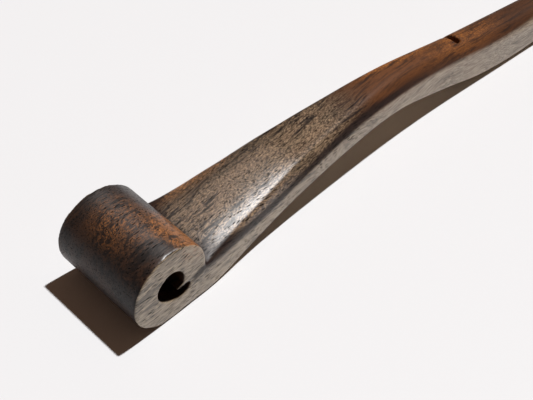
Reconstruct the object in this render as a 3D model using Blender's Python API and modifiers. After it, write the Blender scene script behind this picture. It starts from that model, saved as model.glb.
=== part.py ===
"""Carved wooden dip pen holder: a one-piece holder with a scrolled end, and a brass and steel nib socket.

Frame: metres, +Z up. The origin is the middle of the flat under the scroll, straight below the scroll's axis.
+X runs along the holder to the nib, and Y is the scroll's axis. The holder rests on z = 0 with two places:
the flat under the scroll and the underside of the grip.
"""
import math

import bmesh
import bpy
from mathutils import Matrix

MM = 0.001

# ---- the scroll ---------------------------------------------------------------------------------------------
SCROLL_RADIUS = 8.5 * MM
SCROLL_CENTRE_Z = 8.42 * MM         # a little under the radius, so that sanding has left a flat below it
SCROLL_WIDTH = 20.14 * MM           # across the end faces, at the scroll's axis
FACE_TAPER = 0.060                  # each end face closes in by this much per unit of X
SCROLL_SEGMENTS = 72
EYE_RADIUS = 3.1 * MM
EYE_SEGMENTS = 20

# ---- the handle: its sections along X -------------------------------------------------------------------------
# x, width, underside z, top z, slope at the crown's edge, shoulder width, shoulder height, bottom corner radius
# (all mm, but the slope has no unit). The crown is gently domed, and each shoulder is nearly a quarter ellipse.
SECTIONS = [
    (0.0, 20.0, 0.0, 7.0, 0.10, 0.15, 0.15, 0.3),
    (8.3, 19.0, 0.0, 7.75, 0.14, 0.2, 0.2, 0.3),
    (11.0, 18.5, 0.1, 8.4, 0.30, 0.8, 1.4, 0.35),
    (14.0, 17.75, 0.4, 9.05, 0.38, 1.0, 2.4, 0.4),
    (18.0, 16.5, 0.95, 9.8, 0.38, 1.0, 3.2, 0.5),
    (22.0, 15.4, 1.75, 10.5, 0.37, 0.9, 3.4, 0.5),
    (26.0, 14.45, 2.6, 11.15, 0.35, 1.0, 3.5, 0.5),
    (30.0, 13.7, 3.5, 11.9, 0.30, 1.3, 3.6, 0.6),
    (34.0, 12.95, 4.3, 12.55, 0.25, 1.5, 3.7, 0.6),
    (38.0, 12.3, 5.0, 13.05, 0.20, 1.8, 3.9, 0.6),
    (45.0, 11.25, 6.0, 13.85, 0.14, 2.2, 4.2, 0.7),
    (52.0, 10.25, 6.8, 14.45, 0.14, 2.4, 4.4, 0.7),
    (60.0, 9.2, 7.3, 15.0, 0.14, 2.6, 4.5, 0.8),
    (68.0, 8.3, 6.8, 15.0, 0.16, 2.7, 4.5, 0.9),
    (76.5, 7.7, 5.0, 14.2, 0.18, 2.8, 4.3, 1.0),
    (85.0, 7.5, 3.1, 12.95, 0.18, 2.8, 3.9, 1.1),
    (93.5, 7.65, 1.2, 11.8, 0.16, 2.8, 3.6, 1.2),
    (102.0, 7.85, 0.3, 10.8, 0.13, 2.9, 3.4, 1.3),
    (112.0, 7.95, 0.0, 9.8, 0.08, 3.2, 3.4, 1.6),
    (124.0, 8.1, 0.1, 8.9, 0.0, 3.9, 3.9, 2.8),
    (139.0, 8.2, 0.5, 8.7, 0.0, 4.09, 4.09, 4.09),
]
STATION_STEP = 2.6 * MM
SHOULDER_STEPS = 7                  # round the shoulder, from a side wall to the crown
CROWN_STEPS = 3                     # from the shoulder to the middle of the back
BOTTOM_CORNER_STEPS = 3
ROUND_HANDLE = 0.5523               # a cubic curve with handles this long is very nearly a quarter ellipse

# ---- the nib end ------------------------------------------------------------------------------------------
FRONT_AXIS_Z = 4.6 * MM             # the height of the axis that the nib, clip, sleeve and ferrule share
SHOULDER_X = 139.0 * MM
TENON_RADIUS = 3.0 * MM
TENON_END_X = 148.0 * MM
BORE_RADIUS = 2.3 * MM
BORE_DEPTH = 11.0 * MM
FERRULE_BORE_RADIUS = 3.25 * MM
FERRULE_BACK_RADIUS = 4.1 * MM
FERRULE_FRONT_RADIUS = 3.55 * MM
FERRULE_BEAD = 0.25 * MM
FERRULE_BACK_X = 139.3 * MM
FERRULE_FRONT_X = 150.3 * MM
SLEEVE_RADIUS = 2.1 * MM
SLEEVE_WALL = 0.28 * MM
SLEEVE_BACK_X = 137.4 * MM
SLEEVE_FRONT_X = 149.8 * MM
CLIP_RADIUS = 1.32 * MM
CLIP_WALL = 0.26 * MM
CLIP_BACK_X = 138.0 * MM
CLIP_FRONT_X = 148.6 * MM
CLIP_SLOT_WIDTH = 0.7 * MM
CLIP_SLOT_BACK_X = 139.6 * MM
NIB_THICKNESS = 0.24 * MM
NIB_BACK_X = 140.5 * MM
NIB_TIP_X = 173.0 * MM
VENT_RADIUS = 0.55 * MM
VENT_X = 161.0 * MM
SLIT_WIDTH = 0.1 * MM

# ---- the slanted notch in the handle's back ---------------------------------------------------------------------
NOTCH_X = 87.6 * MM
NOTCH_Y = 0.6 * MM
NOTCH_WIDTH = 1.8 * MM
NOTCH_LENGTH = 3.4 * MM
NOTCH_DEPTH = 2.4 * MM
NOTCH_TILT = math.radians(31.0)     # about X: its floor rises to the surface at its left end
NOTCH_TURN = math.radians(5.0)      # about Z: its left end lies a little nearer to the scroll

COLLECTION = "dip_pen_holder"
CUTTERS = "cutters"
SHARP_ANGLE = math.radians(35.0)


def clear_scene():
    for obj in list(bpy.data.objects):
        bpy.data.objects.remove(obj, do_unlink=True)


def new_collection(name):
    group = bpy.data.collections.new(name)
    bpy.context.scene.collection.children.link(group)
    return group


def material(name, colour, roughness, metallic):
    mat = bpy.data.materials.new(name)
    mat.use_nodes = True
    shader = mat.node_tree.nodes["Principled BSDF"]
    shader.inputs["Base Color"].default_value = (*colour, 1.0)
    shader.inputs["Roughness"].default_value = roughness
    shader.inputs["Metallic"].default_value = metallic
    return mat


def add_object(name, mesh, group):
    obj = bpy.data.objects.new(name, mesh)
    group.objects.link(obj)
    return obj


def finish(obj, mat):
    obj.data.materials.clear()
    obj.data.materials.append(mat)
    obj.data.shade_smooth()
    obj.data.set_sharp_from_angle(angle=SHARP_ANGLE)


def mesh_from_bmesh(name, bm):
    bmesh.ops.recalc_face_normals(bm, faces=bm.faces)
    mesh = bpy.data.meshes.new(name)
    bm.to_mesh(mesh)
    bm.free()
    return mesh


def boolean(obj, cutter, operation):
    mod = obj.modifiers.new(f"{operation.lower()}_{cutter.name}", "BOOLEAN")
    mod.operation = operation
    mod.object = cutter
    mod.solver = "EXACT"
    cutter.hide_render = True
    cutter.display_type = "WIRE"


def smooth_between(rows, x):
    """The values of the row table at x: a cubic Hermite curve through every row."""
    last = len(rows) - 1
    i = max(k for k in range(last) if k == 0 or rows[k][0] <= x)
    left, right = rows[i], rows[i + 1]
    span = right[0] - left[0]
    t = min(max((x - left[0]) / span, 0.0), 1.0)
    values = []
    for k in range(1, len(left)):
        slopes = []
        for j in (i, i + 1):
            before, after = rows[max(j - 1, 0)], rows[min(j + 1, last)]
            slopes.append((after[k] - before[k]) / (after[0] - before[0]))
        values.append(
            (2 * t**3 - 3 * t**2 + 1) * left[k]
            + (t**3 - 2 * t**2 + t) * span * slopes[0]
            + (3 * t**2 - 2 * t**3) * right[k]
            + (t**3 - t**2) * span * slopes[1]
        )
    return values


def section_rows():
    """The section table in metres; the slope at the crown's edge has no unit."""
    return [[value * MM for value in row[:4]] + [row[4]] + [value * MM for value in row[5:]] for row in SECTIONS]


def section_ring(x, width, low, high, slope, shoulder_width, shoulder_height, corner):
    """One closed section across X: upright sides, round bottom corners, full shoulders and a gently domed crown."""
    half = width / 2
    crown = half - shoulder_width
    edge = high - slope * crown / 3
    foot = edge - shoulder_height
    side = []
    for k in range(BOTTOM_CORNER_STEPS + 1):
        a = math.radians(90) * k / BOTTOM_CORNER_STEPS
        side.append((half - corner * (1 - math.sin(a)), low + corner * (1 - math.cos(a))))
    handles = ((half, foot), (half, foot + ROUND_HANDLE * shoulder_height),
               (crown + ROUND_HANDLE * shoulder_width, edge - slope * ROUND_HANDLE * shoulder_width), (crown, edge))
    for k in range(SHOULDER_STEPS):
        t = k / SHOULDER_STEPS
        weights = ((1 - t) ** 3, 3 * t * (1 - t) ** 2, 3 * t ** 2 * (1 - t), t ** 3)
        side.append(tuple(sum(w * handle[axis] for w, handle in zip(weights, handles)) for axis in (0, 1)))
    for k in range(CROWN_STEPS):
        q = 1 - k / CROWN_STEPS
        side.append((crown * q, high - (high - edge) * q ** 3))
    right = [(x, -y, z) for y, z in side]
    left = [(x, y, z) for y, z in reversed(side)]
    return right + [(x, 0.0, high)] + left


def circle_ring(x, radius, like):
    """A round section with as many points as the ring like, at the same angles about the nib's axis."""
    ring = []
    for _, y, z in like:
        a = math.atan2(z - FRONT_AXIS_Z, y)
        ring.append((x, radius * math.cos(a), FRONT_AXIS_Z + radius * math.sin(a)))
    return ring


def loft(rings):
    """A closed tube through rings of equal point counts, with a flat cap on each end."""
    bm = bmesh.new()
    loops = [[bm.verts.new(p) for p in ring] for ring in rings]
    for first, second in zip(loops, loops[1:]):
        count = len(first)
        for k in range(count):
            n = (k + 1) % count
            bm.faces.new((first[k], first[n], second[n], second[k]))
    bm.faces.new(loops[0])
    bm.faces.new(loops[-1])
    return bm


def handle_mesh():
    rows = section_rows()
    start, end = rows[0][0], rows[-1][0]
    steps = round((end - start) / STATION_STEP)
    rings = []
    for k in range(steps + 1):
        x = start + (end - start) * k / steps
        width, low, *rest = smooth_between(rows, x)
        rings.append(section_ring(x, width, max(low, 0.0), *rest))
    shoulder = circle_ring(SHOULDER_X, TENON_RADIUS, rings[-1])
    tenon_end = circle_ring(TENON_END_X, TENON_RADIUS, rings[-1])
    return mesh_from_bmesh("handle", loft(rings + [shoulder, tenon_end]))


def flat_curve(name, outline, thickness, group):
    """A filled 2D outline in X and Z, as a curve object of the given thickness along Y."""
    curve = bpy.data.curves.new(name, "CURVE")
    curve.dimensions = "2D"
    curve.fill_mode = "BOTH"
    curve.extrude = thickness / 2
    spline = curve.splines.new("POLY")
    spline.points.add(len(outline) - 1)
    for point, (x, z) in zip(spline.points, outline):
        point.co = (x, z, 0.0, 1.0)
    spline.use_cyclic_u = True
    obj = bpy.data.objects.new(name, curve)
    obj.rotation_euler = (math.radians(90), 0.0, 0.0)
    group.objects.link(obj)
    return obj


def curve_to_mesh(curve_obj, group):
    """The curve object as a welded mesh object of the same name, in the same place."""
    bpy.context.view_layer.update()
    name = curve_obj.name
    depsgraph = bpy.context.evaluated_depsgraph_get()
    mesh = bpy.data.meshes.new_from_object(curve_obj.evaluated_get(depsgraph))
    mesh.transform(curve_obj.matrix_world)
    bpy.data.objects.remove(curve_obj, do_unlink=True)
    bm = bmesh.new()
    bm.from_mesh(mesh)
    bmesh.ops.remove_doubles(bm, verts=bm.verts, dist=0.001 * MM)
    bpy.data.meshes.remove(mesh)
    return add_object(name, mesh_from_bmesh(name, bm), group)


def scroll_outline():
    """The scroll's round end, cut flat where it stands on the ground."""
    outline = []
    for k in range(SCROLL_SEGMENTS):
        a = math.tau * k / SCROLL_SEGMENTS
        x = SCROLL_RADIUS * math.cos(a)
        z = SCROLL_CENTRE_Z + SCROLL_RADIUS * math.sin(a)
        outline.append((x, max(z, 0.0)))
    return outline


def eye_outline():
    """The scroll's eye: a comma, whose round head turns into a tail that points along the handle."""
    head = []
    for k in range(EYE_SEGMENTS):
        a = math.radians(-22) + math.radians(262) * k / (EYE_SEGMENTS - 1)
        head.append((EYE_RADIUS * math.cos(a), EYE_RADIUS * math.sin(a)))
    tongue = (1.2 * MM, -2.0 * MM)
    tail_top = [(2.3 * MM, -2.15 * MM), (3.4 * MM, -2.1 * MM), (4.5 * MM, -2.2 * MM)]
    tail_bottom = [(4.75 * MM, -2.75 * MM), (4.2 * MM, -3.5 * MM), (3.2 * MM, -4.0 * MM), (1.9 * MM, -4.15 * MM),
                   (0.7 * MM, -3.85 * MM), (-0.3 * MM, -3.45 * MM)]
    outline = head + tail_bottom[::-1] + tail_top[::-1] + [tongue]
    return [(x + 0.1 * MM, z + SCROLL_CENTRE_Z) for x, z in outline]


def taper_faces(mesh):
    """Lean both end faces in towards the handle, so that they run on into its tapering sides."""
    for vert in mesh.vertices:
        half = SCROLL_WIDTH / 2 - FACE_TAPER * vert.co.x
        vert.co.y = math.copysign(half, vert.co.y)


def turned(name, profile, group, segments=40):
    """A turned piece about the nib's axis, from (x, radius) points that run forward along its outer side."""
    bm = bmesh.new()
    verts = [bm.verts.new((radius, 0.0, x)) for x, radius in reversed(profile)]
    count = len(verts)
    for k in range(count):
        bm.edges.new((verts[k], verts[(k + 1) % count]))
    mesh = bpy.data.meshes.new(name)
    bm.to_mesh(mesh)
    bm.free()
    obj = add_object(name, mesh, group)
    obj.rotation_euler = (0.0, math.radians(90), 0.0)
    obj.location = (0.0, 0.0, FRONT_AXIS_Z)
    screw = obj.modifiers.new("turn", "SCREW")
    screw.angle = math.tau
    screw.steps = segments
    screw.render_steps = segments
    screw.use_merge_vertices = True
    screw.merge_threshold = 0.01 * MM
    screw.use_smooth_shade = True
    return obj


def rod_cutter(name, radius, start, end, axis, group, segments=32):
    """A round cutter from start to end along X or Z, with its axis through the point axis."""
    bm = bmesh.new()
    bmesh.ops.create_cone(bm, cap_ends=True, segments=segments, radius1=radius, radius2=radius,
                          depth=end - start)
    bmesh.ops.translate(bm, verts=bm.verts, vec=(0.0, 0.0, (start + end) / 2))
    if axis == "X":
        bmesh.ops.rotate(bm, verts=bm.verts, matrix=Matrix.Rotation(math.radians(90), 3, "Y"))
    return add_object(name, mesh_from_bmesh(name, bm), group)


def box_cutter(name, low, high, group):
    bm = bmesh.new()
    size = [b - a for a, b in zip(low, high)]
    centre = [(a + b) / 2 for a, b in zip(low, high)]
    bmesh.ops.create_cube(bm, size=1.0)
    bmesh.ops.scale(bm, verts=bm.verts, vec=size)
    bmesh.ops.translate(bm, verts=bm.verts, vec=centre)
    return add_object(name, mesh_from_bmesh(name, bm), group)


def notch_cutter(group):
    """The short slanted cut in the handle's back: deep and blunt near the middle, running out to the left."""
    top = smooth_between(section_rows(), NOTCH_X)[2]
    low = (-NOTCH_WIDTH / 2, -NOTCH_LENGTH / 2, -NOTCH_DEPTH)
    high = (NOTCH_WIDTH / 2, NOTCH_LENGTH / 2, 2 * NOTCH_DEPTH)
    obj = box_cutter("notch_cutter", low, high, group)
    obj.location = (NOTCH_X, NOTCH_Y, top)
    obj.rotation_euler = (NOTCH_TILT, 0.0, NOTCH_TURN)
    bevel = obj.modifiers.new("round", "BEVEL")
    bevel.width = 0.35 * MM
    bevel.segments = 2
    return obj


def build_holder(parts, cutters):
    """The wooden holder: handle and scroll from one piece of wood, with its eye, notch and nib bore."""
    holder = add_object("holder", handle_mesh(), parts)
    scroll = curve_to_mesh(flat_curve("scroll", scroll_outline(), SCROLL_WIDTH, cutters), cutters)
    taper_faces(scroll.data)
    eye = curve_to_mesh(flat_curve("eye_cutter", eye_outline(), SCROLL_WIDTH * 1.5, cutters), cutters)
    bore = rod_cutter("bore_cutter", BORE_RADIUS, TENON_END_X - BORE_DEPTH, TENON_END_X + 2 * MM, "X", cutters)
    bore.location.z = FRONT_AXIS_Z
    boolean(holder, scroll, "UNION")
    boolean(holder, eye, "DIFFERENCE")
    boolean(holder, notch_cutter(cutters), "DIFFERENCE")
    boolean(holder, bore, "DIFFERENCE")
    finish(holder, material("wood", (0.075, 0.038, 0.024), 0.42, 0.0))


def build_ferrule(parts):
    """The brass ferrule on the tenon, with a raised bead at its back and front."""
    back, front = FERRULE_BACK_X, FERRULE_FRONT_X
    bead = 0.8 * MM
    profile = [
        (back, FERRULE_BORE_RADIUS),
        (back, FERRULE_BACK_RADIUS),
        (back + bead, FERRULE_BACK_RADIUS),
        (back + bead, FERRULE_BACK_RADIUS - FERRULE_BEAD),
        (front - bead, FERRULE_FRONT_RADIUS - 0.02 * MM),
        (front - bead, FERRULE_FRONT_RADIUS + FERRULE_BEAD),
        (front, FERRULE_FRONT_RADIUS + FERRULE_BEAD),
        (front, FERRULE_BORE_RADIUS),
    ]
    ferrule = turned("ferrule", profile, parts, 48)
    finish(ferrule, material("brass", (0.72, 0.50, 0.20), 0.28, 1.0))


def build_sleeve(parts):
    """The steel sleeve in the wood's bore, against which the clip presses the nib."""
    inner = SLEEVE_RADIUS - SLEEVE_WALL
    profile = [
        (SLEEVE_BACK_X, inner),
        (SLEEVE_BACK_X, SLEEVE_RADIUS),
        (SLEEVE_FRONT_X, SLEEVE_RADIUS),
        (SLEEVE_FRONT_X, inner),
    ]
    sleeve = turned("nib_sleeve", profile, parts)
    finish(sleeve, material("sleeve_steel", (0.55, 0.55, 0.56), 0.3, 1.0))


def build_clip(parts, cutters):
    """The spring clip in the sleeve: a cup cut into four leaves that bulge towards the sleeve."""
    inner = CLIP_RADIUS - CLIP_WALL
    waist = 0.12 * MM
    middle = (CLIP_SLOT_BACK_X + CLIP_FRONT_X) / 2
    profile = [
        (CLIP_BACK_X, 0.0),
        (CLIP_BACK_X, CLIP_RADIUS - waist),
        (middle, CLIP_RADIUS),
        (CLIP_FRONT_X, CLIP_RADIUS - 2 * waist),
        (CLIP_FRONT_X, inner - 2 * waist),
        (middle, inner),
        (CLIP_SLOT_BACK_X, inner - waist),
        (CLIP_SLOT_BACK_X, 0.0),
    ]
    clip = turned("nib_clip", profile, parts, 32)
    reach = 2 * CLIP_RADIUS
    for name, across in (("clip_slot_upright", (CLIP_SLOT_WIDTH / 2, reach)),
                         ("clip_slot_level", (reach, CLIP_SLOT_WIDTH / 2))):
        half_y, half_z = across
        low = (CLIP_SLOT_BACK_X, -half_y, FRONT_AXIS_Z - half_z)
        high = (CLIP_FRONT_X + 1 * MM, half_y, FRONT_AXIS_Z + half_z)
        boolean(clip, box_cutter(name, low, high, cutters), "DIFFERENCE")
    finish(clip, material("spring_steel", (0.42, 0.42, 0.44), 0.35, 1.0))


# x, arc radius, half the width round the arc, height of the arc's centre over the socket's axis (all mm)
NIB_ROWS = [
    (140.5, 1.60, 2.2, 0.0),
    (149.5, 1.60, 2.3, 0.0),
    (153.0, 1.75, 2.9, -0.1),
    (157.0, 1.90, 2.9, -0.25),
    (161.0, 1.85, 2.2, -0.4),
    (166.0, 1.60, 1.25, -0.6),
    (170.0, 1.30, 0.6, -0.85),
    (173.0, 1.10, 0.16, -1.1),
]


def build_nib(parts, cutters):
    """The steel nib: a thin sheet bent round the socket's axis, with a vent hole and a slit to its point."""
    rows = [[value * MM for value in row] for row in NIB_ROWS]
    along, across = 34, 12
    bm = bmesh.new()
    grid = []
    for i in range(along + 1):
        x = NIB_BACK_X + (NIB_TIP_X - NIB_BACK_X) * i / along
        radius, half_width, centre = smooth_between(rows, x)
        line = []
        for j in range(across + 1):
            a = (2 * j / across - 1) * half_width / radius
            line.append(bm.verts.new((x, radius * math.sin(a), FRONT_AXIS_Z + centre + radius * math.cos(a))))
        grid.append(line)
    for first, second in zip(grid, grid[1:]):
        for j in range(across):
            bm.faces.new((first[j], first[j + 1], second[j + 1], second[j]))
    nib = add_object("nib", mesh_from_bmesh("nib", bm), parts)
    solid = nib.modifiers.new("sheet", "SOLIDIFY")
    solid.thickness = NIB_THICKNESS
    solid.offset = 0.0
    top = FRONT_AXIS_Z + 3 * MM
    vent = rod_cutter("vent_cutter", VENT_RADIUS, FRONT_AXIS_Z, top, "Z", cutters, 20)
    vent.location.x = VENT_X
    slit = box_cutter("slit_cutter", (VENT_X, -SLIT_WIDTH / 2, FRONT_AXIS_Z - 1 * MM),
                      (NIB_TIP_X + 1 * MM, SLIT_WIDTH / 2, top), cutters)
    boolean(nib, vent, "DIFFERENCE")
    boolean(nib, slit, "DIFFERENCE")
    finish(nib, material("nib_steel", (0.5, 0.5, 0.52), 0.22, 1.0))


def main():
    clear_scene()
    parts = new_collection(COLLECTION)
    cutters = new_collection(CUTTERS)
    build_holder(parts, cutters)
    build_ferrule(parts)
    build_sleeve(parts)
    build_clip(parts, cutters)
    build_nib(parts, cutters)
    bpy.context.view_layer.update()


main()
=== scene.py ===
# %% [markdown]
# # A carved dip pen holder
#
# A dip pen holder is a stick with a socket for a steel nib. This one is carved from a single piece of dark,
# coarse-pored rosewood: its back end is a scroll, a barrel across the handle with a comma-shaped eye, and its
# front end carries a brass ferrule with a spring socket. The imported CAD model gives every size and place, so the
# lesson starts by loading it as a frame that stays fixed.

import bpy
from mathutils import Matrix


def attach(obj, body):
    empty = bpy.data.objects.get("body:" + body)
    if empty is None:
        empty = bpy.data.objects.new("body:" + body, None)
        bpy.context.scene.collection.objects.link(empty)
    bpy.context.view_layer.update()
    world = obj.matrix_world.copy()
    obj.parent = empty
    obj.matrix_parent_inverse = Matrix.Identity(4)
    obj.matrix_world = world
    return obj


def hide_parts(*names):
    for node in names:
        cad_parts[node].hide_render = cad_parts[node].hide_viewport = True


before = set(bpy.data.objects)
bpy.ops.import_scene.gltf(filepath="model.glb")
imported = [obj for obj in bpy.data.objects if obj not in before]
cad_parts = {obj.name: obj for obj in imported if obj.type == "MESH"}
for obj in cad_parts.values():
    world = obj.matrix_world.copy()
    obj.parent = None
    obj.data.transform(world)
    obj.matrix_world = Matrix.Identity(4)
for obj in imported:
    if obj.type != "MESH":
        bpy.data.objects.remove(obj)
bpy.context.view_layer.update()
print("CAD nodes:", sorted(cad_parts))

# %% The tools of the lesson
import math

import bmesh
import bpy
from mathutils import Matrix, Vector

MM = 0.001

# %% [markdown]
# ## The camera
#
# The camera stands above the scroll's end and looks along the holder, close enough for the nib end to run out of
# the view. A camera can be aimed with a Track To constraint, but here its three axes are worked out from an
# azimuth, an elevation and a small roll, because a matrix keeps no hidden state.

# %% The camera
AIM = Vector((33.2, 0.1, 0.0)) * MM
CAMERA_DISTANCE = 228.3 * MM
CAMERA_AZIMUTH = math.radians(-47.356)
CAMERA_ELEVATION = math.radians(45.094)
CAMERA_ROLL = math.radians(4.676)
LENS, SENSOR_WIDTH = 79.13, 36.0
NEAREST = 1 * MM

flat = math.cos(CAMERA_ELEVATION)
back = Vector((math.sin(CAMERA_AZIMUTH) * flat, -math.cos(CAMERA_AZIMUTH) * flat,
               math.sin(CAMERA_ELEVATION)))
level = Vector((0.0, 0.0, 1.0)).cross(back).normalized()
upright = back.cross(level)
right = level * math.cos(CAMERA_ROLL) + upright * math.sin(CAMERA_ROLL)
up = upright * math.cos(CAMERA_ROLL) - level * math.sin(CAMERA_ROLL)

camera = bpy.data.objects.new("camera", bpy.data.cameras.new("camera"))
camera.data.lens = LENS
camera.data.sensor_width = SENSOR_WIDTH
camera.data.clip_start = NEAREST
camera.matrix_world = Matrix((right, up, back)).transposed().to_4x4()
camera.location = AIM + back * CAMERA_DISTANCE
bpy.context.scene.collection.objects.link(camera)
bpy.context.scene.camera = camera
print("camera at", [round(v / MM, 1) for v in camera.location], "mm")

# %% [markdown]
# ## The light
#
# One small, hard light stands high over the nib's side and a little behind the holder: it draws the crisp shadow
# and the long highlights on the satin wood. A sun lamp suits it, because its rays are parallel and its angle sets
# how soft the shadow's edge is. The rest of the room gives only a faint warm glow.

# %% The light
SUN_DIRECTION = Vector((0.375, -0.008, 1.0))
SUN_STRENGTH = 3.66
SUN_ANGLE = math.radians(2.0)
ROOM_COLOUR = (1.0, 0.60, 0.40, 1.0)
ROOM_STRENGTH = 0.088

scene = bpy.context.scene
sun = bpy.data.objects.new("sun", bpy.data.lights.new("sun", "SUN"))
sun.rotation_euler = SUN_DIRECTION.to_track_quat("Z", "Y").to_euler()
sun.data.energy = SUN_STRENGTH
sun.data.angle = SUN_ANGLE
scene.collection.objects.link(sun)

world = bpy.data.worlds.new("room")
world.use_nodes = True
world.node_tree.nodes["Background"].inputs["Color"].default_value = ROOM_COLOUR
world.node_tree.nodes["Background"].inputs["Strength"].default_value = ROOM_STRENGTH
scene.world = world
scene.view_settings.view_transform = "Standard"
print("sun elevation:", round(math.degrees(math.asin(SUN_DIRECTION.normalized().z)), 1), "degrees")

# %% [markdown]
# ## A small language for materials
#
# Every finish here is a shader made of nodes. Placing nodes one by one is slow to read, so a class wraps a socket
# and overloads Python's operators: an expression such as `1 - mask * 0.5` then adds its own Math nodes. Any other
# node comes from one method, which takes the node's type, its settings and the values of its sockets.

# %% Sockets that can do sums
class Value:
    """One socket of a material's node tree, with Python's arithmetic."""

    def __init__(self, finish, socket):
        self.finish, self.socket = finish, socket

    def sum(self, operation, *terms):
        return self.finish.node("ShaderNodeMath", {"operation": operation}, dict(enumerate(terms)))

    def __add__(self, other):
        return self.sum("ADD", self, other)

    def __sub__(self, other):
        return self.sum("SUBTRACT", self, other)

    def __mul__(self, other):
        return self.sum("MULTIPLY", self, other)

    def __truediv__(self, other):
        return self.sum("DIVIDE", self, other)

    def __rsub__(self, other):
        return self.sum("SUBTRACT", other, self)

    def __rtruediv__(self, other):
        return self.sum("DIVIDE", other, self)

    def __abs__(self):
        return self.sum("ABSOLUTE", self)

    __radd__ = __add__
    __rmul__ = __mul__


class Finish:
    """A new material, and the few ways in which its nodes are made."""

    def __init__(self, name):
        self.material = bpy.data.materials.new(name)
        self.material.use_nodes = True
        self.tree = self.material.node_tree
        self.shader = self.tree.nodes["Principled BSDF"]

    def node(self, kind, settings=None, sockets=None, output=0):
        """Any node: its type, then its settings, then the values or links of its sockets."""
        made = self.tree.nodes.new(kind)
        for key, value in (settings or {}).items():
            if key == "stops":
                for spare in list(made.color_ramp.elements)[1:]:
                    made.color_ramp.elements.remove(spare)
                for k, (place, colour) in enumerate(value):
                    elements = made.color_ramp.elements
                    element = elements[0] if k == 0 else elements.new(place)
                    element.position, element.color = place, (*colour, 1.0)
            else:
                setattr(made, key, value)
        for key, value in (sockets or {}).items():
            if isinstance(value, Value):
                self.tree.links.new(value.socket, made.inputs[key])
            else:
                made.inputs[key].default_value = value
        return Value(self, made.outputs[output])

    def stretch(self, vector, scale, shift=(0.0, 0.0, 0.0), turn=(0.0, 0.0, 0.0)):
        return self.node("ShaderNodeMapping", {"vector_type": "POINT"},
                         {"Vector": vector, "Scale": scale, "Location": shift, "Rotation": turn})

    def place(self, scale=(1.0, 1.0, 1.0), turn=(0.0, 0.0, 0.0)):
        """The point on the piece in millimetres, turned and then stretched."""
        point = self.node("ShaderNodeTexCoord", output="Object")
        return self.stretch(self.stretch(point, (1 / MM,) * 3, turn=turn), scale)

    def axes(self, vector):
        return [self.node("ShaderNodeSeparateXYZ", sockets={"Vector": vector}, output=k) for k in range(3)]

    def move(self, a, b, operation="ADD"):
        return self.node("ShaderNodeVectorMath", {"operation": operation}, {0: a, 1: b})

    def noise(self, vector, detail=2.0, roughness=0.5, output="Fac"):
        return self.node("ShaderNodeTexNoise", {"noise_dimensions": "3D"},
                         {"Vector": vector, "Scale": 1.0, "Detail": detail, "Roughness": roughness}, output)

    def cells(self, vector):
        """The distance to the middle of the nearest cell."""
        return self.node("ShaderNodeTexVoronoi", {"feature": "F1"}, {"Vector": vector, "Scale": 1.0}, "Distance")

    def between(self, value, low, high, start=0.0, end=1.0):
        """Runs smoothly from start to end as value goes from low to high."""
        return self.node("ShaderNodeMapRange", {"interpolation_type": "SMOOTHSTEP"},
                         {"Value": value, "From Min": low, "From Max": high, "To Min": start, "To Max": end})

    def mix(self, factor, a, b):
        """Colour a, or colour b where the factor is 1; sockets 6 and 7 and output 2 are the node's colours."""
        a, b = ((*c, 1.0) if isinstance(c, tuple) else c for c in (a, b))
        return self.node("ShaderNodeMix", {"data_type": "RGBA"}, {"Factor": factor, 6: a, 7: b}, 2)

    def relief(self, height, depth, strength):
        """A normal that shows height as bumps, up to depth millimetres deep."""
        return self.node("ShaderNodeBump", {}, {"Strength": strength, "Distance": depth * MM, "Height": height})

    def ramp(self, value, stops):
        return self.node("ShaderNodeValToRGB", {"stops": stops}, {"Fac": value}, "Color")

    def use(self, **sockets):
        """Feeds the shader: a constant is set on its socket, and a value or colour is linked to it."""
        for key, value in sockets.items():
            target = self.shader.inputs[key.replace("_", " ")]
            if isinstance(value, Value):
                self.tree.links.new(value.socket, target)
            else:
                target.default_value = value
        return self.material


print("shader sums ready")

# %% [markdown]
# ## The sections of the handle
#
# A carver works to a few cross-sections and blends them by eye. The table lists such sections along X: how wide
# the handle is, where its underside and its back are, how steep the domed back gets, how wide and how tall its
# rounded shoulder is, and how round its lower edges are. A smooth curve through every row gives any section in
# between. A stack of drawn outlines would do the same, but a table of a few measures is easier to correct.

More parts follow.
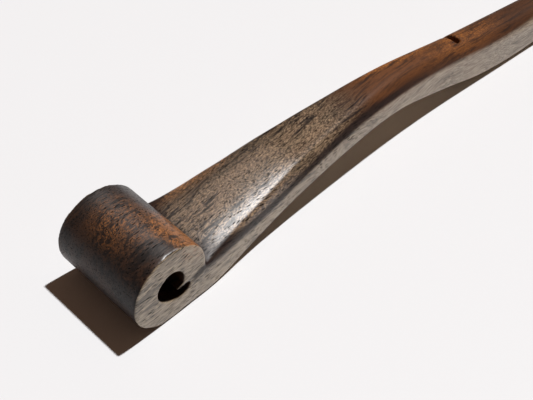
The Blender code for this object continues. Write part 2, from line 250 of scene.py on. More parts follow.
# %% Sections
# x, width, underside z, top z, slope at the crown's edge, shoulder width, shoulder height, lower corner radius
# (mm; the slope has no unit)
SECTIONS = [
    (0.0, 20.0, 0.0, 7.0, 0.10, 0.15, 0.15, 0.3),
    (8.3, 19.0, 0.0, 7.75, 0.14, 0.2, 0.2, 0.3),
    (11.0, 18.5, 0.1, 8.4, 0.30, 0.8, 1.4, 0.35),
    (14.0, 17.75, 0.4, 9.05, 0.38, 1.0, 2.4, 0.4),
    (18.0, 16.5, 0.95, 9.8, 0.38, 1.0, 3.2, 0.5),
    (22.0, 15.4, 1.75, 10.5, 0.37, 0.9, 3.4, 0.5),
    (26.0, 14.45, 2.6, 11.15, 0.35, 1.0, 3.5, 0.5),
    (30.0, 13.7, 3.5, 11.9, 0.30, 1.3, 3.6, 0.6),
    (34.0, 12.95, 4.3, 12.55, 0.25, 1.5, 3.7, 0.6),
    (38.0, 12.3, 5.0, 13.05, 0.20, 1.8, 3.9, 0.6),
    (45.0, 11.25, 6.0, 13.85, 0.14, 2.2, 4.2, 0.7),
    (52.0, 10.25, 6.8, 14.45, 0.14, 2.4, 4.4, 0.7),
    (60.0, 9.2, 7.3, 15.0, 0.14, 2.6, 4.5, 0.8),
    (68.0, 8.3, 6.8, 15.0, 0.16, 2.7, 4.5, 0.9),
    (76.5, 7.7, 5.0, 14.2, 0.18, 2.8, 4.3, 1.0),
    (85.0, 7.5, 3.1, 12.95, 0.18, 2.8, 3.9, 1.1),
    (93.5, 7.65, 1.2, 11.8, 0.16, 2.8, 3.6, 1.2),
    (102.0, 7.85, 0.3, 10.8, 0.13, 2.9, 3.4, 1.3),
    (112.0, 7.95, 0.0, 9.8, 0.08, 3.2, 3.4, 1.6),
    (124.0, 8.1, 0.1, 8.9, 0.0, 3.9, 3.9, 2.8),
    (139.0, 8.2, 0.5, 8.7, 0.0, 4.09, 4.09, 4.09),
]


def along(rows, x):
    """The values of a table at x: a cubic Hermite curve through every row."""
    last = len(rows) - 1
    i = max(k for k in range(last) if k == 0 or rows[k][0] <= x)
    left, right_row = rows[i], rows[i + 1]
    span = right_row[0] - left[0]
    t = min(max((x - left[0]) / span, 0.0), 1.0)
    values = []
    for k in range(1, len(left)):
        slopes = [(rows[min(j + 1, last)][k] - rows[max(j - 1, 0)][k])
                  / (rows[min(j + 1, last)][0] - rows[max(j - 1, 0)][0]) for j in (i, i + 1)]
        values.append((2 * t**3 - 3 * t**2 + 1) * left[k] + (t**3 - 2 * t**2 + t) * span * slopes[0]
                      + (3 * t**2 - 2 * t**3) * right_row[k] + (t**3 - t**2) * span * slopes[1])
    return values


# how far round half a section each of its parts ends, from the middle of the underside to the middle of the back
FLAT_ENDS, CORNER_ENDS, WALL_ENDS, SHOULDER_ENDS = 0.2, 0.35, 0.45, 0.72
# a Bezier curve with handles this long, for a radius of 1, follows a quarter of a circle
ROUND_HANDLE = 0.5523


def section_point(share, width, low, high, slope, shoulder_width, shoulder_height, corner):
    """(y, z) on half a section, in mm, at a share of the way round it."""
    half = width / 2
    crown = half - shoulder_width
    edge = high - slope * crown / 3
    if share < FLAT_ENDS:
        return (half - corner) * share / FLAT_ENDS, low
    if share < CORNER_ENDS:
        a = math.radians(90) * (share - FLAT_ENDS) / (CORNER_ENDS - FLAT_ENDS)
        return half - corner * (1 - math.sin(a)), low + corner * (1 - math.cos(a))
    if share < WALL_ENDS:
        t = (share - CORNER_ENDS) / (WALL_ENDS - CORNER_ENDS)
        return half, (low + corner) * (1 - t) + (edge - shoulder_height) * t
    if share < SHOULDER_ENDS:
        t, k = (share - WALL_ENDS) / (SHOULDER_ENDS - WALL_ENDS), ROUND_HANDLE
        weights = ((1 - t)**3, 3 * t * (1 - t)**2, 3 * t**2 * (1 - t), t**3)
        ys = (half, half, crown + k * shoulder_width, crown)
        zs = (edge - shoulder_height, edge - (1 - k) * shoulder_height,
              edge - slope * k * shoulder_width, edge)
        return sum(w * y for w, y in zip(weights, ys)), sum(w * z for w, z in zip(weights, zs))
    q = 1 - (share - SHOULDER_ENDS) / (1 - SHOULDER_ENDS)
    return crown * q, high - (high - edge) * q**3


print("section at x = 30 mm:", [round(v, 2) for v in along(SECTIONS, 30.0)])

# %% [markdown]
# ## The handle
#
# The handle is one loop of points pulled along X. The loop starts as a circle, each Extrude adds a station, and
# at the end every point moves to its place on the section of its station. A lathe makes only round bars, and a
# bevelled curve keeps one shape for its whole length, but a loop that keeps its own numbering can change from a
# flat-backed section near the scroll to a round grip. The tenon and the bore are four more pulls of the last loop.

# %% Handle
LOOP_POINTS = 112
STATIONS = 139
FRONT_AXIS_Z = 4.6
TENON_RADIUS, TENON_END = 3.0, 148.0
BORE_RADIUS, BORE_BOTTOM = 2.3, 137.0


def piece(name, bm):
    """An object, still in millimetres, that sits at the origin with its place in its mesh."""
    mesh = bpy.data.meshes.new(name)
    bm.to_mesh(mesh)
    bm.free()
    made = bpy.data.objects.new(name, mesh)
    scene.collection.objects.link(made)
    return made


def outward(bm):
    """Merges doubled points and turns every face outwards."""
    bmesh.ops.remove_doubles(bm, verts=bm.verts, dist=0.001)
    bmesh.ops.recalc_face_normals(bm, faces=bm.faces)


def pull(bm, edges, step=(0.0, 0.0, 0.0)):
    """Extrudes a loop of edges by a step, and returns the new loop's edges and points."""
    grown = bmesh.ops.extrude_edge_only(bm, edges=edges)["geom"]
    points = [g for g in grown if isinstance(g, bmesh.types.BMVert)]
    bmesh.ops.translate(bm, verts=points, vec=step)
    return [g for g in grown if isinstance(g, bmesh.types.BMEdge)], points


def carve_handle():
    """Each point of the loop keeps its number, from 0 to 1 round the loop, and finds its section by it."""
    bm = bmesh.new()
    numbering = bm.verts.layers.float.new("round")
    loop = bmesh.ops.create_circle(bm, segments=LOOP_POINTS, radius=1.0)["verts"]
    for k, vert in enumerate(loop):
        vert[numbering] = k / LOOP_POINTS
    edges = list(bm.edges)
    bmesh.ops.contextual_create(bm, geom=edges)
    for _ in range(STATIONS):
        edges, points = pull(bm, edges, (0.0, 0.0, 1.0))
    for vert in bm.verts:
        x, turn = vert.co.z, vert[numbering]
        width, low, *rest = along(SECTIONS, x)
        y, z = section_point(1 - abs(1 - 2 * turn), width, max(low, 0.0), *rest)
        vert.co = (x, -y if turn < 0.5 else y, z)
    for radius, x in ((TENON_RADIUS, STATIONS), (TENON_RADIUS, TENON_END), (BORE_RADIUS, TENON_END),
                      (BORE_RADIUS, BORE_BOTTOM)):
        edges, points = pull(bm, edges)
        for vert in points:
            spoke = Vector((0.0, vert.co.y, vert.co.z - FRONT_AXIS_Z)).normalized() * radius
            vert.co = (x, spoke.y, FRONT_AXIS_Z + spoke.z)
    bmesh.ops.contextual_create(bm, geom=edges)
    outward(bm)
    return piece("handle", bm)


handle = carve_handle()
print("handle:", len(handle.data.vertices), "points")

# %% [markdown]
# ## The scroll, its eye and the notch
#
# The scroll is a barrel across the handle, sawn to shape and rounded with a file. Its end faces lean in a little
# towards the handle, and sanding has left a narrow flat under it. The eye is drilled and then opened with a
# narrow saw into a comma. The barrel, the eye's cutter and the notch's cutter are simple solids, which Boolean
# modifiers join to the handle or cut out of it, as the tools do.

# %% Scroll, eye and notch
SCROLL_RADIUS, SCROLL_CENTRE = 8.5, 8.42
SCROLL_HALF_WIDTH, FACE_TAPER = 10.07, 0.06
BARREL_STEPS, EYE_STEPS = 160, 60
EYE_RADIUS, EYE_SHIFT = 3.1, 0.1
# where the eye's round head starts and ends, and the comma's tail as (x, z) from the eye's centre, in mm
EYE_HEAD = (math.radians(-22.0), math.radians(240.0))
EYE_TAIL = [(1.2, -2.0), (2.3, -2.15), (3.4, -2.1), (4.5, -2.2), (4.75, -2.75), (4.2, -3.5), (3.2, -4.0),
            (1.9, -4.15), (0.7, -3.85), (-0.3, -3.45)]
CUTTER_REACH = 15.0
NOTCH_AT, NOTCH_SIZE, NOTCH_ROUNDING = (87.6, 0.6), (1.8, 3.4, 6.0), 0.35
NOTCH_DEPTH, NOTCH_TILT, NOTCH_TURN = 2.4, math.radians(31.0), math.radians(5.0)


def barrel():
    """A disc pulled across the handle, with leaning end faces, and cut flat where it stands on the table."""
    bm = bmesh.new()
    bmesh.ops.create_circle(bm, segments=BARREL_STEPS, radius=SCROLL_RADIUS)
    bmesh.ops.rotate(bm, verts=bm.verts, matrix=Matrix.Rotation(math.radians(90), 3, "X"))
    bmesh.ops.contextual_create(bm, geom=list(bm.edges))
    _, far = pull(bm, list(bm.edges), (0.0, 1.0, 0.0))
    bmesh.ops.contextual_create(bm, geom=far)
    for vert in bm.verts:
        vert.co.y = (1 if vert.co.y > 0.5 else -1) * (SCROLL_HALF_WIDTH - FACE_TAPER * vert.co.x)
        vert.co.z += SCROLL_CENTRE
    cut = bmesh.ops.bisect_plane(bm, geom=[*bm.verts, *bm.edges, *bm.faces], plane_co=(0, 0, 0),
                                 plane_no=(0, 0, 1), clear_inner=True)["geom_cut"]
    bmesh.ops.contextual_create(bm, geom=[g for g in cut if isinstance(g, bmesh.types.BMEdge)])
    outward(bm)
    return piece("barrel", bm)


def eye_cutter():
    """The round head is a spun point, and the tail's few points close it into a comma, pulled across."""
    bm = bmesh.new()
    first, last = EYE_HEAD
    start = bm.verts.new((EYE_RADIUS * math.cos(first), 0.0, EYE_RADIUS * math.sin(first)))
    spun = bmesh.ops.spin(bm, geom=[start], cent=(0, 0, 0), axis=(0, -1, 0), dvec=(0, 0, 0),
                          angle=last - first, steps=EYE_STEPS)["geom_last"]
    before = [g for g in spun if isinstance(g, bmesh.types.BMVert)][0]
    for x, z in reversed(EYE_TAIL):
        after = bm.verts.new((x, 0.0, z))
        bm.edges.new((before, after))
        before = after
    bm.edges.new((before, start))
    bmesh.ops.translate(bm, verts=bm.verts, vec=(EYE_SHIFT, -CUTTER_REACH, SCROLL_CENTRE))
    bmesh.ops.contextual_create(bm, geom=list(bm.edges))
    _, far = pull(bm, list(bm.edges), (0.0, 2 * CUTTER_REACH, 0.0))
    bmesh.ops.contextual_create(bm, geom=far)
    bmesh.ops.triangulate(bm, faces=[f for f in bm.faces if len(f.verts) > 4])
    outward(bm)
    return piece("eye_cutter", bm)


def notch_cutter():
    """A block with rounded edges, tilted and turned, whose lower end goes into the handle's back."""
    bm = bmesh.new()
    bmesh.ops.create_cube(bm, size=1.0)
    bmesh.ops.scale(bm, verts=bm.verts, vec=NOTCH_SIZE)
    bmesh.ops.translate(bm, verts=bm.verts, vec=(0.0, 0.0, NOTCH_SIZE[2] / 2 - NOTCH_DEPTH))
    bmesh.ops.bevel(bm, geom=list(bm.edges), offset=NOTCH_ROUNDING, segments=3, profile=0.5,
                    affect="EDGES", material=-1)
    bmesh.ops.rotate(bm, verts=bm.verts, matrix=Matrix.Rotation(NOTCH_TILT, 3, "X"))
    bmesh.ops.rotate(bm, verts=bm.verts, matrix=Matrix.Rotation(NOTCH_TURN, 3, "Z"))
    top = along(SECTIONS, NOTCH_AT[0])[2]
    bmesh.ops.translate(bm, verts=bm.verts, vec=(*NOTCH_AT, top))
    return piece("notch_cutter", bm)


def settled(obj):
    """The object's mesh with its modifiers applied; the object is left without them."""
    bpy.context.view_layer.update()
    mesh = bpy.data.meshes.new_from_object(obj.evaluated_get(bpy.context.evaluated_depsgraph_get()))
    obj.modifiers.clear()
    obj.data = mesh
    return obj


def carve(work, tool, operation):
    """Joins a solid to the work or cuts it out, and puts the tool away."""
    cut = work.modifiers.new(tool.name, "BOOLEAN")
    cut.operation, cut.object, cut.solver = operation, tool, "EXACT"
    settled(work)
    bpy.data.objects.remove(tool)


wood = handle
wood.name = "wood_holder"
carve(wood, barrel(), "UNION")
carve(wood, eye_cutter(), "DIFFERENCE")
carve(wood, notch_cutter(), "DIFFERENCE")
print("carved:", len(wood.data.polygons), "faces")

# %% [markdown]
# ## Sanding
#
# Hand sanding leaves no knife-sharp edge anywhere. Bevelling each edge would need clean edge loops, which the
# cuts have broken, so the solid is remeshed instead: small even cells follow it, and a little smoothing takes the
# edges off, as sandpaper does. The cells are then thinned where the surface allows it, and the whole piece is
# brought from millimetres to metres.

# %% Sanding
CELL, SANDING_PASSES = 0.26, 3
MOST_TRIANGLES = 190000


def sanded(obj, cell, passes):
    """Rounds a solid's edges by even cells and smoothing, and returns how many triangles the cells made."""
    remesh = obj.modifiers.new("cells", "REMESH")
    remesh.mode, remesh.voxel_size, remesh.adaptivity = "VOXEL", cell, 0.0
    settled(obj)
    bm = bmesh.new()
    bm.from_mesh(obj.data)
    for _ in range(passes):
        bmesh.ops.smooth_vert(bm, verts=bm.verts, factor=0.5,
                              use_axis_x=True, use_axis_y=True, use_axis_z=True)
    bm.to_mesh(obj.data)
    bm.free()
    triangles = 2 * len(obj.data.polygons)
    if triangles > MOST_TRIANGLES:
        thin = obj.modifiers.new("thin", "DECIMATE")
        thin.ratio = MOST_TRIANGLES / triangles
        settled(obj)
    return triangles


cells = sanded(wood, CELL, SANDING_PASSES)
wood.data.transform(Matrix.Scale(MM, 4))
wood.data.shade_smooth()
print("cells as triangles:", cells, "kept:", sum(len(p.vertices) - 2 for p in wood.data.polygons))

# %% [markdown]
# ## The wood: one bent space
#
# Scroll and handle are one piece of wood, so all the layers of its look run along X and through every face. Solid
# noise in object coordinates gives each face of the carving the right cut through the same wood, which painted or
# unwrapped grain would not. Real fibres lean and wander a little, so one slow noise bends the space that every
# layer reads. A stretch with small numbers makes long, broad shapes, and one with large numbers makes fine ones.

# %% The space of the grain
GRAIN_LEAN = (0.0, 0.0, math.radians(-3.0))
SWAY, SWAY_REACH = (0.035, 0.09, 0.09), (0.0, 7.0, 7.0)

rosewood = Finish("oiled_rosewood")
x, y, z = rosewood.axes(rosewood.place())
sway = rosewood.move(rosewood.noise(rosewood.place(SWAY), output="Color"), (0.5, 0.5, 0.5), "SUBTRACT")
bend = rosewood.move(sway, SWAY_REACH, "MULTIPLY")
bent = rosewood.move(rosewood.place(turn=GRAIN_LEAN), bend)
bend_up = rosewood.axes(bend)[2]
print("grain leans", round(math.degrees(GRAIN_LEAN[2]), 1), "degrees and wanders up to", SWAY_REACH[1] / 2, "mm")

# %% [markdown]
# ## The wood: figure, lines and streaks
#
# The broad figure is the slow change from heart to brown. Thin black growth lines crowd together in places, so one
# noise draws the lines and a slower one says where they crowd. Fibre streaks, flecks and hairs are finer noises
# along the grain.

# %% Figure, lines and streaks
figure = rosewood.noise(rosewood.stretch(bent, (0.05, 0.30, 0.22)), detail=3.0, roughness=0.6)
lines = rosewood.noise(rosewood.stretch(bent, (0.10, 1.5, 1.0), (3.0, 1.0, 7.0)), detail=4.0, roughness=0.66)
crowd = rosewood.noise(rosewood.stretch(bent, (0.06, 0.22, 0.22), (9.0, 4.0, 2.0)), detail=1.0)
black = rosewood.between(lines, 0.50, 0.58) * rosewood.between(crowd, 0.44, 0.56)
fibre = rosewood.noise(rosewood.stretch(bent, (0.30, 5.0, 5.0)), detail=3.0, roughness=0.7)
fleck = rosewood.noise(rosewood.stretch(bent, (1.8, 7.5, 7.5), (5.0, 2.0, 1.0)), detail=2.0, roughness=0.6)
hair = rosewood.noise(rosewood.stretch(bent, (0.25, 13.0, 13.0), (1.0, 6.0, 4.0)), detail=1.0)
print("grain layers:", len(rosewood.tree.nodes), "nodes so far")

# %% [markdown]
# ## The wood: pores
#
# Rosewood's pores are open tubes. They show as short dark dashes along a side and as dots on end grain. Voronoi
# cells stretched along the fibres give both, because a point near the middle of a cell lies in its tube. The wood
# is finer towards the nib, where few pores show.

# %% Pores
FINE_WOOD = (48.0, 62.0)

wide = rosewood.cells(rosewood.stretch(bent, (0.36, 2.9, 2.9)))
small = rosewood.cells(rosewood.stretch(bent, (1.1, 5.0, 5.0), (2.0, 5.0, 3.0)))
front = rosewood.between(x, *FINE_WOOD)
pore = 1 - rosewood.between(wide, 0.20, 0.30)
pinhole = 1 - rosewood.between(small, 0.20, 0.34)
holes = rosewood.between(pore + pinhole * 0.4, 0.0, 1.0) * (1 - front * 0.75)
print("pores thin out from x =", FINE_WOOD[0], "to", FINE_WOOD[1], "mm")

# %% [markdown]
# ## The wood: brow, painted reflection on the walls, and crack
#
# One strong dark line follows each side of the handle from the eye's tail, like a brow. It is a dark reddish streak
# in the wood, and is also painted shade where the shoulder turns away from the light and mirrors the dark room.
# Below it, the lower wall is better polished, and it and the scroll's sawn end faces are painted pale as a
# reflection of the bright table. A drying crack runs from the edge of the end face to the eye. All of these keep to
# places on the holder, so they're drawn from x, y and z instead of noise.

# %% Brow, painted wall reflection and crack
# x ranges and heights of the brow, in mm: it climbs with the arch, falls behind it, and dips at the scroll
BROW_CLIMB, BROW_LOW, BROW_HIGH = (20.0, 56.0), 7.1, 12.8
BROW_FALL, BROW_DROP = (68.0, 110.0), 3.6
BROW_DIP, BROW_DIP_DEPTH = (3.5, 8.5), 1.2
BROW_STARTS, BROW_FADES = (4.4, 6.0), (62.0, 92.0)
WALL_STARTS, FACE_FADES = (7.0, 12.0), (8.0, 13.0)
FACE_BEGINS = (9.80, 10.02)
CRACK_HEIGHT, CRACK_SLOPE, CRACK_END, CRACK_FADE = 8.98, -0.178, -3.6, 0.6

brow = rosewood.between(x, *BROW_CLIMB, BROW_LOW, BROW_HIGH) - rosewood.between(x, *BROW_FALL, 0.0, BROW_DROP)
brow = brow - rosewood.between(x, *BROW_DIP, BROW_DIP_DEPTH, 0.0)
below = brow + bend_up * 0.25 - z
# the brow: a dark streak of the wood together with painted shade along the shoulder
brow_streak_and_painted_shade = (1 - rosewood.between(abs(below), 0.45, 1.45)) * rosewood.between(abs(y), 2.0, 4.0)
brow_streak_and_painted_shade = brow_streak_and_painted_shade * rosewood.between(x, *BROW_STARTS) * rosewood.between(x, *BROW_FADES, 1.0, 0.0)
wall = rosewood.between(below, 0.5, 1.9) * rosewood.between(x, *WALL_STARTS)
face = rosewood.between(abs(y) + x * FACE_TAPER, *FACE_BEGINS) * rosewood.between(x, *FACE_FADES, 1.0, 0.0)
# where the lower walls and the end faces are better polished and also painted pale, as a reflection of the bright
# table
polish_and_painted_reflection = 1 - (1 - wall) * (1 - face)
crack = abs(z - x * CRACK_SLOPE - CRACK_HEIGHT + (fleck - 0.5) * 0.3)
crack = (1 - rosewood.between(crack, 0.05, 0.17)) * face
crack = crack * rosewood.between(x, CRACK_END - CRACK_FADE, CRACK_END, 1.0, 0.0)
print("brow climbs from", BROW_LOW, "to", BROW_HIGH, "mm")

# %% [markdown]
# ## The wood: amber places
#
# Sapwood glows amber in a few places: on the barrel, along the far edge and on the arch. Each is a soft oval cloud,
# and their sum says how strongly the bright fibres and flecks light up. A pale dust of worn finish lies over the
# coarse back between the scroll and the arch, and it also carries painted sheen: it is lighter on the near side,
# where the back catches the sheen, and fades towards the far side.

# %% Amber places
# x, y, z, reach along X, reach across (mm), strength
AMBER_PLACES = [
    (6.0, -6.0, 15.0, 6.0, 7.0, 1.3),
    (-1.0, 1.0, 16.0, 6.5, 8.0, 0.50),
    (22.0, 8.0, 10.0, 18.0, 3.5, 0.8),
    (70.0, 3.0, 13.5, 14.0, 3.0, 1.0),
    (88.0, 0.0, 12.0, 18.0, 4.0, 0.5),
]
# where the dust and its painted sheen start and fade along X, and how the painted sheen fades towards the far side
DUST_AND_SHEEN_STARTS, DUST_AND_SHEEN_FADES, PAINTED_SHEEN_FAR_SIDE = (8.0, 12.0), (42.0, 60.0), (1.0, 7.0)

amber = 0.0
for place_x, place_y, place_z, reach, across, strength in AMBER_PLACES:
    dx, dy, dz = (x - place_x) / reach, (y - place_y) / across, (z - place_z) / across
    amber = amber + rosewood.between(dx * dx + dy * dy + dz * dz, 0.0, 1.3, strength, 0.0)
ember = rosewood.between(fibre * 0.35 + fleck * 0.65 + amber * 0.05, 0.49, 0.62)
dust_and_painted_sheen = rosewood.between(x, *DUST_AND_SHEEN_STARTS) * rosewood.between(x, *DUST_AND_SHEEN_FADES, 1.0, 0.0)
dust_and_painted_sheen = dust_and_painted_sheen * rosewood.between(y, *PAINTED_SHEEN_FAR_SIDE, 1.0, 0.35)
print("amber places:", len(AMBER_PLACES))

# %% [markdown]
# ## The wood: colour
#
# The layers go over each other from the deepest to the topmost, as a stain, a finish and dirt would: first the
# figure, then amber, the dust with its painted sheen and the painted reflection on the walls, then the black lines
# and the brow with its painted shade, and last the holes, which are the darkest. Mix nodes keep them as colours,
# and each factor is made of the masks above.

# %% Wood colour
DARK_HEART, RED_STREAK_AND_SHADE = (0.008, 0.005, 0.0045), (0.017, 0.007, 0.005)
BROWN, WARM_BROWN = (0.030, 0.013, 0.007), (0.140, 0.048, 0.014)
AMBER, BEIGE_DUST_AND_SHEEN, PAINTED_TABLE_REFLECTION = (0.42, 0.15, 0.030), (0.52, 0.35, 0.21), (0.43, 0.32, 0.19)
PORE = (0.003, 0.0025, 0.002)
WARM_WOOD = (88.0, 108.0)

colour = rosewood.mix(rosewood.between(figure, 0.38, 0.60), DARK_HEART, BROWN)
colour = rosewood.mix(front * rosewood.between(x, *WARM_WOOD, 0.85, 0.45), colour, WARM_BROWN)
colour = rosewood.mix(ember * rosewood.between(amber + 0.18, 0.0, 1.2), colour, AMBER)
# dust and painted sheen: pale flecks over the coarse back, lighter on the near side where the sheen falls
colour = rosewood.mix(rosewood.between(fleck, 0.44, 0.62, 0.06, 0.72) * dust_and_painted_sheen, colour, BEIGE_DUST_AND_SHEEN)
colour = rosewood.mix(front * rosewood.between(lines, 0.44, 0.66) * 0.6, colour, BROWN)
# painted reflection: the lower walls and end faces are painted pale where they would mirror the bright table
colour = rosewood.mix(polish_and_painted_reflection * rosewood.between(fibre, 0.36, 0.62, 0.25, 1.0), colour, PAINTED_TABLE_REFLECTION)
colour = rosewood.mix(black * (1 - front * 0.45) * (1 - polish_and_painted_reflection * 0.4) * 0.9, colour, DARK_HEART)
# the brow's dark red is partly the wood's own streak and partly painted shade
colour = rosewood.mix(brow_streak_and_painted_shade * 0.9, colour, RED_STREAK_AND_SHADE)
colour = rosewood.mix(holes * 0.9, colour, PORE)
colour = rosewood.mix(crack, colour, PORE)
print("wood colour:", len(rosewood.tree.nodes), "nodes so far")

# %% [markdown]
# ## The wood: polish and relief
#
# An oiled and waxed surface has a satin that a plain roughness can't give: it is a thin coat over the wood. Its
# weight follows the wax, strong on the back near the scroll and on the sides, and worn off where the wood is
# coarse. The holes, the lines and the crack break it. The relief is under a tenth of a millimetre, so a Bump node
# shows it.

# %% Polish and relief
COARSE_WOOD = (27.0, 38.0)
WAXED_BACK, WAXED_TOP = (7.0, 11.0), (12.5, 16.5)
RELIEF_DEPTH = 0.06

coarse = rosewood.between(x, *COARSE_WOOD) * (1 - polish_and_painted_reflection)
rough = 0.34 + fleck * 0.10 + holes * 0.35 + coarse * 0.28
waxed = rosewood.between(x, *WAXED_BACK) + rosewood.between(z, *WAXED_TOP)
waxed = rosewood.between(waxed, 0.0, 1.0, 0.15, 0.95) - coarse * 0.9
polish = (waxed + polish_and_painted_reflection * (1.0 - waxed)) * rosewood.between(fibre, 0.34, 0.64, 0.6, 1.0)
polish = polish * (1 - brow_streak_and_painted_shade * 0.8) * (1 - holes) * (1 - crack) * (1 - black * 0.3)
height = fibre * 0.25 + fleck * 0.40 + hair * 1.2 - holes - crack * 1.5
rosewood.use(Base_Color=colour, Roughness=rough, Normal=rosewood.relief(height, RELIEF_DEPTH, 0.4),
             IOR=1.25, Coat_Weight=polish, Coat_Roughness=0.42, Coat_IOR=1.85)

wood.data.materials.append(rosewood.material)
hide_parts("holder")
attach(wood, "holder")
print("wood finish:", len(rosewood.tree.nodes), "nodes")

# %% [markdown]
# ## The metal pieces
#
# The ferrule, the sleeve and the spring clip are turned or drawn, so each starts as the half-profile that a
# lathe's tool would follow, and Spin carries it once round the socket's axis. A small bevel breaks the edges.

# %% Turned pieces
TURNING_STEPS, CLIP_STEPS = 96, 48
BEVELLED_FROM, SHARP_FROM = math.radians(30.0), math.radians(40.0)


def turned(name, profile, edge, steps=TURNING_STEPS):
    """A closed profile of (x, radius) points in mm, spun round the socket's axis."""
    bm = bmesh.new()
    verts = [bm.verts.new((x, 0.0, FRONT_AXIS_Z + radius)) for x, radius in profile]
    for k, vert in enumerate(verts):
        bm.edges.new((vert, verts[(k + 1) % len(verts)]))
    bmesh.ops.spin(bm, geom=[*bm.verts, *bm.edges], cent=(0, 0, FRONT_AXIS_Z), axis=(1, 0, 0),
                   dvec=(0, 0, 0), angle=math.tau, steps=steps, use_merge=True)
    outward(bm)
    return soft_edges(piece(name, bm), edge)


def soft_edges(obj, width):
    bevel = obj.modifiers.new("edges", "BEVEL")
    bevel.width, bevel.segments, bevel.profile = width, 3, 0.5
    bevel.limit_method, bevel.angle_limit = "ANGLE", BEVELLED_FROM
    return settled(obj)


def placed(obj, node, body, finish):
    """Brings a piece to metres, gives it its finish and lets it stand for its CAD node."""
    obj.data.transform(Matrix.Scale(MM, 4))
    obj.data.shade_smooth()
    obj.data.set_sharp_from_angle(angle=SHARP_FROM)
    obj.data.materials.clear()
    obj.data.materials.append(finish)
    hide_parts(node)
    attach(obj, body)
    print(obj.name, "has", len(obj.data.polygons), "faces")
    return obj


def half_round(start, end, radius, height, steps=8):
    """Points over a raised bead between two places on a profile."""
    middle, half = (start + end) / 2, (end - start) / 2
    turns = [math.pi * k / steps for k in range(steps + 1)]
    return [(middle - half * math.cos(a), radius + height * math.sin(a)) for a in turns]


# (x, radius) round each half-profile, in mm
FERRULE = [(139.3, 3.27), (139.3, 3.85), *half_round(139.35, 140.15, 3.85, 0.25), (140.4, 3.78), (149.3, 3.53),
           *half_round(149.45, 150.25, 3.53, 0.25), (150.3, 3.5), (150.3, 3.27)]
SLEEVE = [(137.45, 1.83), (137.45, 2.09), (149.8, 2.09), (149.8, 1.83)]
FERRULE_EDGE, SLEEVE_EDGE, CLIP_EDGE = 0.03, 0.05, 0.02
ferrule = turned("brass_ferrule", FERRULE, FERRULE_EDGE)
sleeve = turned("steel_sleeve", SLEEVE, SLEEVE_EDGE)
print("ferrule:", len(ferrule.data.polygons), "faces, sleeve:", len(sleeve.data.polygons), "faces")

# %% [markdown]
# ## The spring clip
#
# The clip is a small cup pressed from tempered sheet and slit into four leaves, which bulge a little so that they
# grip a nib's shank against the sleeve. It is spun like the others, and two crossing boxes cut the slots.

# %% Spring clip
CLIP = [(138.05, 0.01), (138.05, 1.12), (138.2, 1.2), (141.0, 1.27), (144.1, 1.31), (147.0, 1.2), (148.6, 1.08),
        (148.6, 0.83), (147.0, 0.95), (144.1, 1.06), (141.0, 1.02), (139.6, 0.94), (138.5, 0.86), (138.4, 0.01)]
SLOT_START, SLOT_LENGTH, SLOT_WIDTH, SLOT_REACH = 139.6, 10.0, 0.7, 4.0


def block(name, size, middle):
    """A plain block, such as a saw blade's path, used as a cutter."""
    bm = bmesh.new()
    bmesh.ops.create_cube(bm, size=1.0)
    bmesh.ops.scale(bm, verts=bm.verts, vec=size)
    bmesh.ops.translate(bm, verts=bm.verts, vec=middle)
    return piece(name, bm)


slot_middle = (SLOT_START + SLOT_LENGTH / 2, 0.0, FRONT_AXIS_Z)
clip = turned("spring_clip", CLIP, CLIP_EDGE, CLIP_STEPS)
carve(clip, block("upright_slot", (SLOT_LENGTH, SLOT_WIDTH, SLOT_REACH), slot_middle), "DIFFERENCE")
carve(clip, block("level_slot", (SLOT_LENGTH, SLOT_REACH, SLOT_WIDTH), slot_middle), "DIFFERENCE")
print("clip:", len(clip.data.polygons), "faces")

# %% [markdown]
# ## The nib
#
# A nib is stamped from thin steel: a strip as wide as its arc is long, pierced and slit, then bent round a form.
# It starts as a flat grid whose rows are as wide as the pattern says. The grid is bent to the arc of each row,
# Solidify gives the sheet its thickness, and the vent hole and the slit are cut last.

# %% Nib
# x, arc radius, half width round the arc, height of the arc's centre over the socket's axis (all mm)
NIB_ROWS = [
    (140.5, 1.60, 2.2, 0.0),
    (149.5, 1.60, 2.3, 0.0),
    (153.0, 1.75, 2.9, -0.1),
    (157.0, 1.90, 2.9, -0.25),
    (161.0, 1.85, 2.2, -0.4),
    (166.0, 1.60, 1.25, -0.6),
    (170.0, 1.30, 0.6, -0.85),
    (173.0, 1.10, 0.16, -1.1),
]
NIB_THICKNESS, NIB_GRID = 0.24, (96, 20)
VENT_AT, VENT_RADIUS, VENT_DEPTH, VENT_STEPS = 161.0, 0.55, 4.0, 32
SLIT_LENGTH, SLIT_WIDTH, SLIT_DEPTH, SLIT_HEIGHT = 14.0, 0.1, 4.0, 1.0


def bend_nib():
    """A grid of half-size 1, placed row by row on its arcs, and given the sheet's thickness."""
    bm = bmesh.new()
    bmesh.ops.create_grid(bm, x_segments=NIB_GRID[0], y_segments=NIB_GRID[1], size=1.0)
    first, last = NIB_ROWS[0][0], NIB_ROWS[-1][0]
    for vert in bm.verts:
        x = first + (last - first) * (vert.co.x + 1) / 2
        radius, half, centre = along(NIB_ROWS, x)
        a = vert.co.y * half / radius
        vert.co = (x, radius * math.sin(a), FRONT_AXIS_Z + centre + radius * math.cos(a))
    bmesh.ops.recalc_face_normals(bm, faces=bm.faces)
    made = piece("steel_nib", bm)
    sheet = made.modifiers.new("sheet", "SOLIDIFY")
    sheet.thickness, sheet.offset = NIB_THICKNESS, 0.0
    return settled(made)


def vent_cutter():
    bm = bmesh.new()
    bmesh.ops.create_cone(bm, cap_ends=True, segments=VENT_STEPS, radius1=VENT_RADIUS, radius2=VENT_RADIUS,
                          depth=VENT_DEPTH)
    bmesh.ops.translate(bm, verts=bm.verts, vec=(VENT_AT, 0.0, FRONT_AXIS_Z + VENT_DEPTH / 2))
    return piece("vent_cutter", bm)


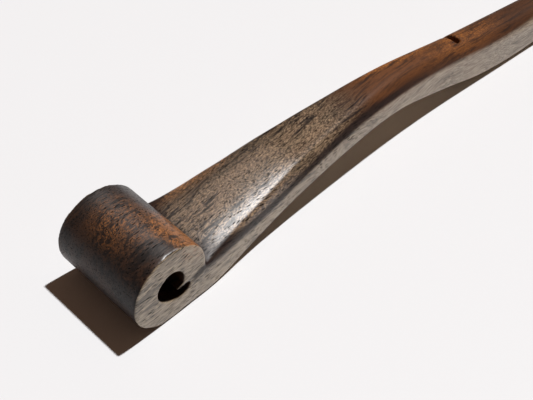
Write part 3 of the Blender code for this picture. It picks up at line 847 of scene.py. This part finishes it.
nib = bend_nib()
carve(nib, vent_cutter(), "DIFFERENCE")
carve(nib, block("slit_cutter", (SLIT_LENGTH, SLIT_WIDTH, SLIT_DEPTH),
                 (VENT_AT + SLIT_LENGTH / 2, 0.0, FRONT_AXIS_Z + SLIT_HEIGHT)), "DIFFERENCE")
print("nib:", len(nib.data.vertices), "points")

# %% [markdown]
# ## Metal finishes
#
# Each metal keeps the marks of how it was made: turning rings round the brass, drawing lines along the sleeve, a
# dark temper on the spring, and a brushed sheet with a straw-to-blue heat tint towards the nib's shank.

# %% Metal finishes
STAIN_SIZE = (0.35, 0.5, 0.5)
# the heat tint's colours, from blue at the shank to plain steel, over a range of x in mm
HEAT_TINT = [(0.0, (0.16, 0.20, 0.34)), (0.35, (0.42, 0.32, 0.36)), (0.6, (0.62, 0.52, 0.36)),
             (1.0, (0.60, 0.60, 0.60))]
HEAT_RANGE, BRUSH_DARK, BRUSH_DEPTH = (146.0, 156.0), (0.25, 0.25, 0.26), 0.01


def metal_finish(name, light, dark, rough, marks, mark_depth, tarnish):
    """Bright metal with fine marks, stretched as marks says, and with tarnish in soft patches."""
    paint = Finish(name)
    scratch = paint.noise(paint.place(scale=marks), detail=3.0, roughness=0.65)
    cloud = paint.noise(paint.place(scale=STAIN_SIZE), detail=3.0, roughness=0.6)
    stain = paint.between(cloud, 0.42, 0.72) * tarnish
    colour = paint.mix(stain + scratch * 0.12, light, dark)
    return paint.use(Base_Color=colour, Roughness=rough + scratch * 0.12 + stain * 0.2,
                     Normal=paint.relief(scratch, mark_depth, 0.3), Metallic=1.0)


brass = metal_finish("turned_brass", (0.80, 0.57, 0.24), (0.42, 0.25, 0.09),
                     rough=0.16, marks=(9.0, 0.25, 0.25), mark_depth=0.012, tarnish=0.6)
drawn = metal_finish("drawn_steel", (0.60, 0.60, 0.61), (0.30, 0.28, 0.26),
                     rough=0.22, marks=(0.3, 9.0, 9.0), mark_depth=0.010, tarnish=0.4)
spring = metal_finish("tempered_steel", (0.36, 0.37, 0.42), (0.14, 0.13, 0.16),
                      rough=0.26, marks=(0.4, 7.0, 7.0), mark_depth=0.010, tarnish=0.6)


def nib_finish():
    paint = Finish("nib_steel_sheet")
    x = paint.axes(paint.place())[0]
    brushed = paint.noise(paint.place(scale=(0.5, 11.0, 11.0)), detail=3.0, roughness=0.65)
    cloud = paint.noise(paint.place(scale=(0.3, 0.6, 0.6)))
    heat = paint.between(x + cloud * 5.0, *HEAT_RANGE)
    colour = paint.mix(brushed * 0.25, paint.ramp(heat, HEAT_TINT), BRUSH_DARK)
    return paint.use(Base_Color=colour, Roughness=0.2 + brushed * 0.16,
                     Normal=paint.relief(brushed, BRUSH_DEPTH, 0.3), Metallic=1.0)


placed(ferrule, "ferrule", "holder", brass)
placed(sleeve, "nib_sleeve", "holder", drawn)
placed(clip, "nib_clip", "holder", spring)
placed(nib, "nib", "nib", nib_finish())

# %% [markdown]
# ## The table
#
# The holder lies on a plain white sheet, which fills the view. It is a single wide face with the faintest tooth
# of paper, just under the holder's two resting places.

# %% Table
PAPER_LOW, PAPER_HIGH = (0.757, 0.762, 0.776), (0.767, 0.772, 0.786)
TOOTH = (2.0, 2.0, 2.0)
# half the sheet's side, its middle, and the hair's breadth by which it lies under the holder, in mm
SHEET_HALF, SHEET_MIDDLE, SHEET_GAP = 3000.0, 60.0, 0.02


def paper_finish():
    paint = Finish("white_paper")
    colour = paint.mix(paint.noise(paint.place(scale=TOOTH)), PAPER_LOW, PAPER_HIGH)
    return paint.use(Base_Color=colour, Roughness=0.7)


sheet = bmesh.new()
bmesh.ops.create_grid(sheet, x_segments=1, y_segments=1, size=SHEET_HALF)
bmesh.ops.translate(sheet, verts=sheet.verts, vec=(SHEET_MIDDLE, 0.0, -SHEET_GAP))
floor = piece("table", sheet)
floor.data.transform(Matrix.Scale(MM, 4))
floor.data.materials.append(paper_finish())
print("table laid")
